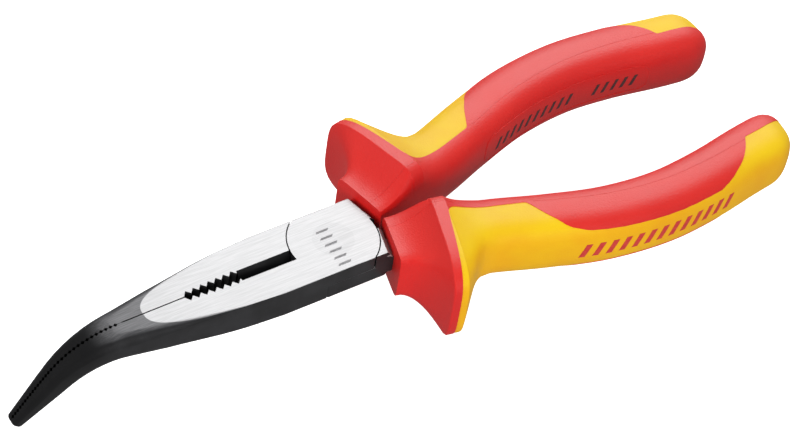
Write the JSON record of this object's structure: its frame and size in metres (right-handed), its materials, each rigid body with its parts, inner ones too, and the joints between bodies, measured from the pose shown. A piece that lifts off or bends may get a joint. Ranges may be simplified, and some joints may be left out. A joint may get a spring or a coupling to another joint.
{
  "type": "needle nose pliers",
  "caption": "Long bent-nose pliers with a lap joint, pipe grip, side cutter and two-layer insulated handles with guards.",
  "frame": {"origin": "on the pivot axis, at the flat back face of the joint", "axes": "+X from the pivot towards the handles (nose towards -X), +Y towards the front lever's handle, +Z along the pivot axis towards the bright front face"},
  "size_m": [0.2006, 0.0608, 0.0304],
  "materials": {
    "forged_steel": "brushed faces, black satin sides and nose",
    "rivet_steel": "ground flush",
    "yellow_insulation": "satin moulded",
    "red_insulation": "satin moulded, fine texture"
  },
  "bodies": {
    "front_half": {"front_lever": "forged_steel", "pivot_rivet": "rivet_steel", "upper_base_layer": "yellow_insulation", "upper_outer_layer": "red_insulation"},
    "rear_half": {"rear_lever": "forged_steel", "lower_base_layer": "yellow_insulation", "lower_outer_layer": "red_insulation"}
  },
  "joints": [
    {"name": "pivot", "type": "hinge", "parent": "front_half", "child": "rear_half", "pos_m": [0, 0, 0.0041], "axis": [0, 0, -1], "range_deg": [0, 40]}
  ]
}
